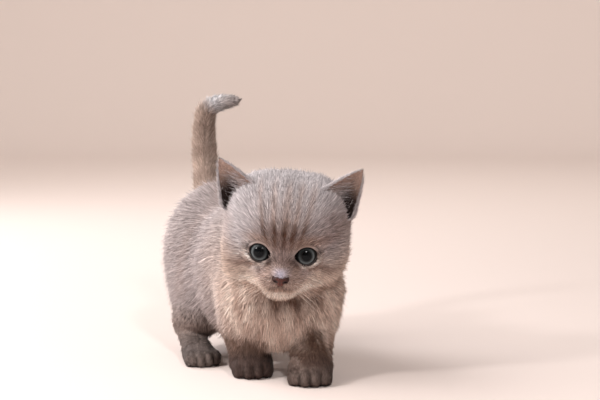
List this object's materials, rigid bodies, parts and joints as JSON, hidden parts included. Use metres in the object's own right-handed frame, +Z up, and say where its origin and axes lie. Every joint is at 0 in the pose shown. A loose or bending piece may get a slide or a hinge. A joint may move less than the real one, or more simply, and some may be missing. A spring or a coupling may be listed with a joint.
{
  "type": "short-legged kitten, still model",
  "caption": "Life-size still model of a short-legged blue-lilac kitten in mid-step, tail raised, head turned and lowered.",
  "frame": {"origin": "middle of the bounding box's foot, on the floor between the paws", "axes": "+Z up; the kitten walks towards -Y and its own left side is at +X"},
  "size_m": [0.0758, 0.173, 0.1534],
  "materials": {
    "body_coat": "short dense plush coat, lilac grey",
    "face_coat": "short coat, lilac grey crown, warm beige cheeks",
    "leg_coat": "short coat, brown grey",
    "paw_coat": "very short coat, dark brown grey",
    "tail_coat": "short coat, dark brown grey with a paler tip",
    "ear_skin": "thin skin with sparse pale hair",
    "nose_leather": "moist fine-grained leather",
    "eye": "wet clear cornea over a blue grey iris"
  },
  "bodies": {
    "root": {"head": "face_coat", "neck": "body_coat", "chest": "body_coat", "belly": "body_coat", "rump": "body_coat", "foreleg_left": "leg_coat", "foreleg_right": "leg_coat", "thigh_left": "leg_coat", "thigh_right": "leg_coat", "hock_left": "leg_coat", "hock_right": "leg_coat", "forepaw_left": "paw_coat", "forepaw_right": "paw_coat", "hindpaw_left": "paw_coat", "hindpaw_right": "paw_coat", "tail_base": "tail_coat", "tail_middle": "tail_coat", "tail_tip": "tail_coat", "ear_left": "ear_skin", "ear_right": "ear_skin", "nose": "nose_leather", "eye_left": "eye", "eye_right": "eye"}
  },
  "joints": []
}
